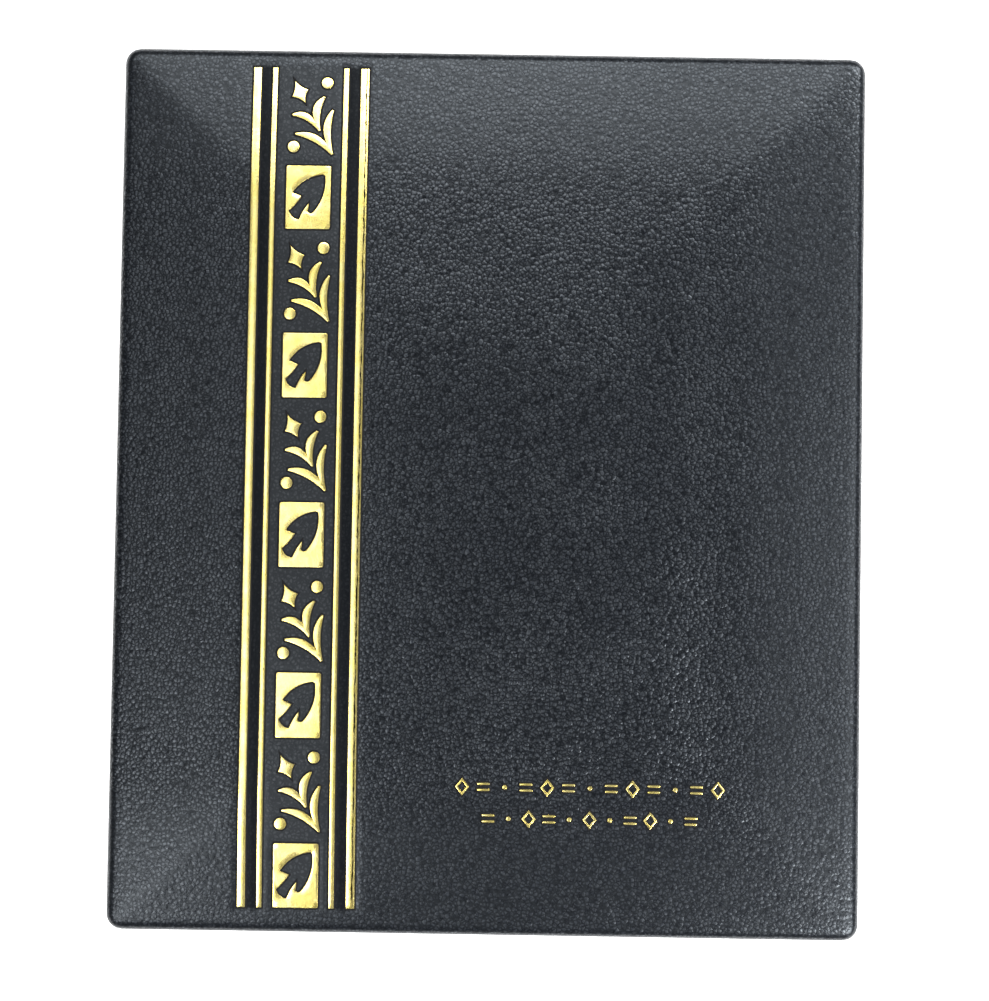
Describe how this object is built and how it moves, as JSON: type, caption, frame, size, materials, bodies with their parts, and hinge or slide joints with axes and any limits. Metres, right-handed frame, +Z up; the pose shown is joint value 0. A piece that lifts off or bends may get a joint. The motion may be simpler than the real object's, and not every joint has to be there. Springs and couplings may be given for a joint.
{
  "type": "coin album",
  "caption": "Book-style coin album: padded leatherette case on a piano hinge, with gold foil trim and two flocked pages of coins in clear capsules.",
  "frame": {"origin": "middle of the back cover's flat underside", "axes": "+Z up through the closed album, out of the front cover; +Y towards the album's top edge; +X from the spine to the opening side"},
  "size_m": [0.1385, 0.162, 0.0259],
  "materials": {
    "leatherette": "navy-black embossed pebble grain, satin",
    "gold_foil": "hot-stamped gold foil, mirror bright",
    "board": "grey pressed board",
    "pad": "thin upholstery foam",
    "flock": "dark blue velvet flocking",
    "acrylic": "clear polished acrylic",
    "card": "smooth dark blue card",
    "paper": "cream laid paper",
    "brass": "polished brass",
    "magnet": "nickel-plated",
    "silver_proof": "proof struck: mirror field, frosted relief",
    "copper_proof": "proof struck copper: mirror field, frosted relief"
  },
  "bodies": {
    "back_half": {"back_covering": "leatherette", "back_board": "board", "right_page": "flock", "back_magnet_lower": "magnet", "back_magnet_upper": "magnet", "right_capsule_rear": "acrylic", "right_coin_card": "card", "coin_half_dollar": "silver_proof", "coin_quarter": "silver_proof", "coin_nickel": "silver_proof", "coin_cent": "copper_proof", "coin_dime": "silver_proof", "right_capsule_front": "acrylic", "back_hinge_leaf": "brass", "back_hinge_screw_1": "brass", "back_hinge_screw_2": "brass", "back_hinge_screw_3": "brass", "back_hinge_screw_4": "brass", "hinge_pin": "brass"},
    "front_half": {"front_covering": "leatherette", "front_pad": "pad", "front_board": "board", "left_page": "flock", "certificate": "paper", "front_magnet_lower": "magnet", "front_magnet_upper": "magnet", "left_capsule_rear": "acrylic", "left_coin_card": "card", "coin_silver_dollar": "silver_proof", "coin_commemorative_half": "silver_proof", "left_capsule_front": "acrylic", "front_hinge_leaf": "brass", "front_hinge_screw_1": "brass", "front_hinge_screw_2": "brass", "front_hinge_screw_3": "brass", "front_hinge_screw_4": "brass"}
  },
  "joints": [
    {"name": "cover_hinge", "type": "hinge", "parent": "back_half", "child": "front_half", "pos_m": [-0.06875, 0, 0.0112], "axis": [0, -1, 0], "range_deg": [0, 175]}
  ]
}
